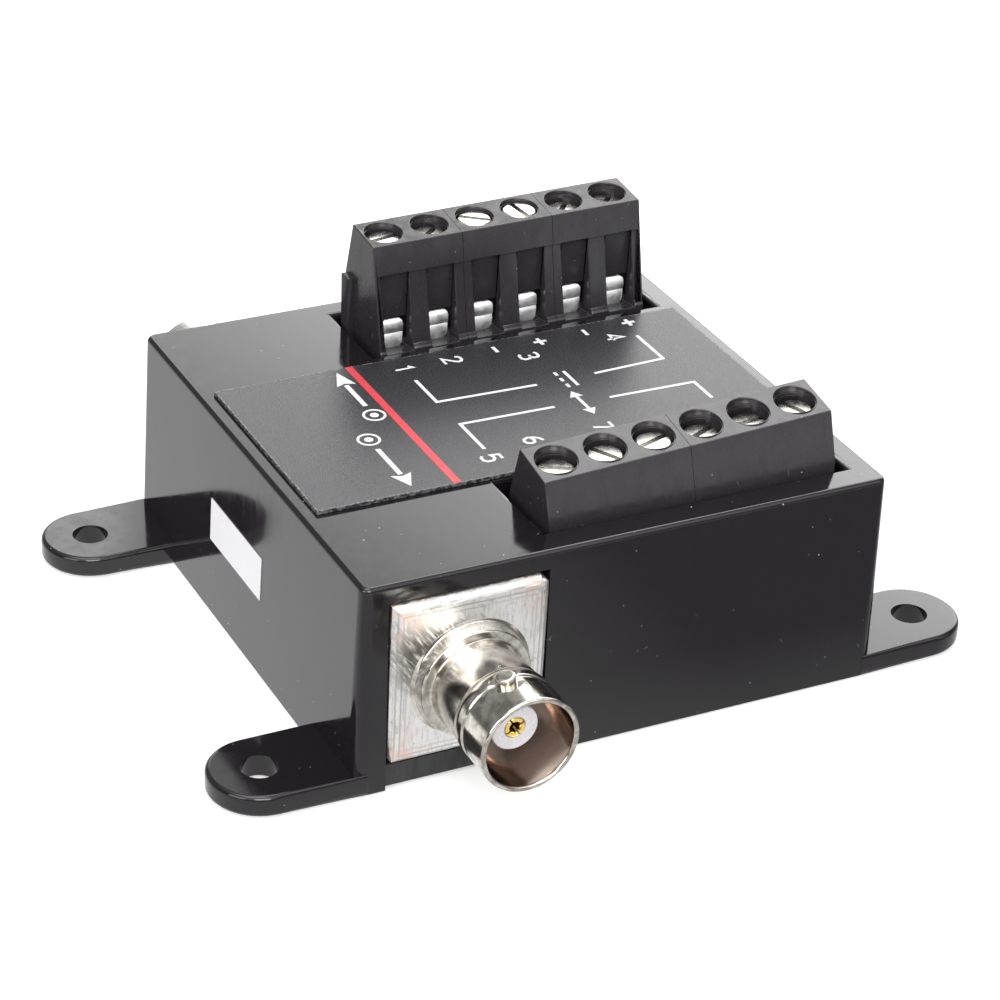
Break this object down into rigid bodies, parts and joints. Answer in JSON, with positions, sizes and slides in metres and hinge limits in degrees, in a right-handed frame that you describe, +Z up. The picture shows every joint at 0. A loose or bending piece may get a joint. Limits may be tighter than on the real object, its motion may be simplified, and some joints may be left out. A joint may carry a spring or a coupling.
{
  "type": "coaxial surge protector",
  "caption": "Black moulded surge protector box with mounting ears, a bayonet coaxial jack at each end and two rows of screw terminals with working screws.",
  "frame": {"origin": "centre of the overall box, at the level of the ears' underside", "axes": "+X to the right along the front, the front jack points to -Y and the rear jack to +Y, +Z up"},
  "size_m": [0.0802, 0.0798, 0.0331],
  "materials": {
    "case": "glossy black moulding",
    "cover": "fine-grained black moulding",
    "screw_steel": "zinc-plated",
    "board": "solder mask",
    "spacer": "moulded",
    "pin_tin": "tinned",
    "label": "fine-grained dark film with white and red print",
    "sticker": "white paper, bare",
    "rear_block": "black moulding",
    "front_block": "black moulding",
    "cage": "tinned",
    "guard": "bright spring strip",
    "terminal_screw": "nickel-plated, slotted",
    "foot": "tinned",
    "front_jack": "nickel-plated casting, scuffed plate",
    "rear_jack": "nickel-plated casting",
    "insulator": "white insulator",
    "gold": "gold-plated",
    "tube": "ceramic with metal ends",
    "varistor": "coated disc",
    "diode": "moulded",
    "coil": "enamelled copper",
    "resistor": "coated body"
  },
  "bodies": {
    "base": {"enclosure": "case", "bottom_cover": "cover", "cover_screws": "screw_steel", "main_board": "board", "upper_board": "board", "header_spacers": "spacer", "header_pins": "pin_tin", "top_label": "label", "side_sticker": "sticker", "rear_housing_1": "rear_block", "rear_housing_2": "rear_block", "rear_housing_3": "rear_block", "front_housing_1": "front_block", "front_housing_2": "front_block", "rear_contacts_1": "cage", "rear_contacts_2": "cage", "rear_contacts_3": "cage", "front_contacts_1": "cage", "front_contacts_2": "cage", "rear_wire_guards": "guard", "front_wire_guards": "guard", "front_jack_shell": "front_jack", "front_jack_insulator": "insulator", "front_jack_contact": "gold", "rear_jack_shell": "rear_jack", "rear_jack_insulator": "insulator", "rear_jack_contact": "gold", "gas_tubes": "tube", "varistors": "varistor", "clamp_diodes": "diode", "series_coil": "coil", "series_resistors": "resistor"},
    "rear_foot_1": {"rear_foot_1": "foot"},
    "rear_screw_1": {"rear_screw_1": "terminal_screw"},
    "rear_foot_2": {"rear_foot_2": "foot"},
    "rear_screw_2": {"rear_screw_2": "terminal_screw"},
    "rear_foot_3": {"rear_foot_3": "foot"},
    "rear_screw_3": {"rear_screw_3": "terminal_screw"},
    "rear_foot_4": {"rear_foot_4": "foot"},
    "rear_screw_4": {"rear_screw_4": "terminal_screw"},
    "rear_foot_5": {"rear_foot_5": "foot"},
    "rear_screw_5": {"rear_screw_5": "terminal_screw"},
    "rear_foot_6": {"rear_foot_6": "foot"},
    "rear_screw_6": {"rear_screw_6": "terminal_screw"},
    "front_foot_1": {"front_foot_1": "foot"},
    "front_screw_1": {"front_screw_1": "terminal_screw"},
    "front_foot_2": {"front_foot_2": "foot"},
    "front_screw_2": {"front_screw_2": "terminal_screw"},
    "front_foot_3": {"front_foot_3": "foot"},
    "front_screw_3": {"front_screw_3": "terminal_screw"},
    "front_foot_4": {"front_foot_4": "foot"},
    "front_screw_4": {"front_screw_4": "terminal_screw"},
    "front_foot_5": {"front_foot_5": "foot"},
    "front_screw_5": {"front_screw_5": "terminal_screw"},
    "front_foot_6": {"front_foot_6": "foot"},
    "front_screw_6": {"front_screw_6": "terminal_screw"}
  },
  "joints": [
    {"name": "rear_press_1", "type": "slide", "parent": "base", "child": "rear_foot_1", "axis": [-0.014, 0, 0.9999], "range_m": [-0.0025, 0.00067]},
    {"name": "rear_turn_1", "type": "hinge", "parent": "rear_foot_1", "child": "rear_screw_1", "pos_m": [-0.00457, 0.0191, 0.03022], "axis": [-0.014, 0, 0.9999], "range_deg": [-2001.5, 537.5]},
    {"name": "rear_press_2", "type": "slide", "parent": "base", "child": "rear_foot_2", "axis": [-0.014, 0, 0.9999], "range_m": [-0.00217, 0.001]},
    {"name": "rear_turn_2", "type": "hinge", "parent": "rear_foot_2", "child": "rear_screw_2", "pos_m": [0.00052, 0.0191, 0.02996], "axis": [-0.014, 0, 0.9999], "range_deg": [-1737.5, 801.5]},
    {"name": "rear_press_3", "type": "slide", "parent": "base", "child": "rear_foot_3", "axis": [-0.014, 0, 0.9999], "range_m": [-0.00293, 0.00024]},
    {"name": "rear_turn_3", "type": "hinge", "parent": "rear_foot_3", "child": "rear_screw_3", "pos_m": [0.00559, 0.0191, 0.03079], "axis": [-0.014, 0, 0.9999], "range_deg": [-2345.5, 193.5]},
    {"name": "rear_press_4", "type": "slide", "parent": "base", "child": "rear_foot_4", "axis": [-0.014, 0, 0.9999], "range_m": [-0.00298, 0.00019]},
    {"name": "rear_turn_4", "type": "hinge", "parent": "rear_foot_4", "child": "rear_screw_4", "pos_m": [0.01066, 0.0191, 0.03092], "axis": [-0.014, 0, 0.9999], "range_deg": [-2385.5, 153.5]},
    {"name": "rear_press_5", "type": "slide", "parent": "base", "child": "rear_foot_5", "axis": [-0.014, 0, 0.9999], "range_m": [-0.00225, 0.00092]},
    {"name": "rear_turn_5", "type": "hinge", "parent": "rear_foot_5", "child": "rear_screw_5", "pos_m": [0.01575, 0.0191, 0.03026], "axis": [-0.014, 0, 0.9999], "range_deg": [-1801.5, 737.5]},
    {"name": "rear_press_6", "type": "slide", "parent": "base", "child": "rear_foot_6", "axis": [-0.014, 0, 0.9999], "range_m": [-0.00211, 0.00106]},
    {"name": "rear_turn_6", "type": "hinge", "parent": "rear_foot_6", "child": "rear_screw_6", "pos_m": [0.02084, 0.0191, 0.03019], "axis": [-0.014, 0, 0.9999], "range_deg": [-1689.5, 849.5]},
    {"name": "front_press_1", "type": "slide", "parent": "base", "child": "front_foot_1", "axis": [-0.0506, 0, 0.9987], "range_m": [-0.00137, 0.00058]},
    {"name": "front_turn_1", "type": "hinge", "parent": "front_foot_1", "child": "front_screw_1", "pos_m": [-0.00449, -0.01925, 0.02443], "axis": [-0.0506, 0, 0.9987], "range_deg": [-1097.5, 465.5]},
    {"name": "front_press_2", "type": "slide", "parent": "base", "child": "front_foot_2", "axis": [-0.0506, 0, 0.9987], "range_m": [-0.00157, 0.00038]},
    {"name": "front_turn_2", "type": "hinge", "parent": "front_foot_2", "child": "front_screw_2", "pos_m": [0.00057, -0.01925, 0.02489], "axis": [-0.0506, 0, 0.9987], "range_deg": [-1257.5, 305.5]},
    {"name": "front_press_3", "type": "slide", "parent": "base", "child": "front_foot_3", "axis": [-0.0506, 0, 0.9987], "range_m": [-0.00166, 0.00029]},
    {"name": "front_turn_3", "type": "hinge", "parent": "front_foot_3", "child": "front_screw_3", "pos_m": [0.00564, -0.01925, 0.02523], "axis": [-0.0506, 0, 0.9987], "range_deg": [-1329.5, 233.5]},
    {"name": "front_press_4", "type": "slide", "parent": "base", "child": "front_foot_4", "axis": [-0.0506, 0, 0.9987], "range_m": [-0.00121, 0.00074]},
    {"name": "front_turn_4", "type": "hinge", "parent": "front_foot_4", "child": "front_screw_4", "pos_m": [0.01074, -0.01925, 0.02504], "axis": [-0.0506, 0, 0.9987], "range_deg": [-969.5, 593.5]},
    {"name": "front_press_5", "type": "slide", "parent": "base", "child": "front_foot_5", "axis": [-0.0506, 0, 0.9987], "range_m": [-0.00113, 0.00082]},
    {"name": "front_turn_5", "type": "hinge", "parent": "front_foot_5", "child": "front_screw_5", "pos_m": [0.01582, -0.01925, 0.02522], "axis": [-0.0506, 0, 0.9987], "range_deg": [-905.5, 657.5]},
    {"name": "front_press_6", "type": "slide", "parent": "base", "child": "front_foot_6", "axis": [-0.0506, 0, 0.9987], "range_m": [-0.00133, 0.00062]},
    {"name": "front_turn_6", "type": "hinge", "parent": "front_foot_6", "child": "front_screw_6", "pos_m": [0.02088, -0.01925, 0.02567], "axis": [-0.0506, 0, 0.9987], "range_deg": [-1065.5, 497.5]}
  ],
  "couplings": [
    {"joint": "rear_turn_1", "follows": "rear_press_1", "rad_per_m": 13963},
    {"joint": "rear_turn_2", "follows": "rear_press_2", "rad_per_m": 13963},
    {"joint": "rear_turn_3", "follows": "rear_press_3", "rad_per_m": 13963},
    {"joint": "rear_turn_4", "follows": "rear_press_4", "rad_per_m": 13963},
    {"joint": "rear_turn_5", "follows": "rear_press_5", "rad_per_m": 13963},
    {"joint": "rear_turn_6", "follows": "rear_press_6", "rad_per_m": 13963},
    {"joint": "front_turn_1", "follows": "front_press_1", "rad_per_m": 13963},
    {"joint": "front_turn_2", "follows": "front_press_2", "rad_per_m": 13963},
    {"joint": "front_turn_3", "follows": "front_press_3", "rad_per_m": 13963},
    {"joint": "front_turn_4", "follows": "front_press_4", "rad_per_m": 13963},
    {"joint": "front_turn_5", "follows": "front_press_5", "rad_per_m": 13963},
    {"joint": "front_turn_6", "follows": "front_press_6", "rad_per_m": 13963}
  ]
}
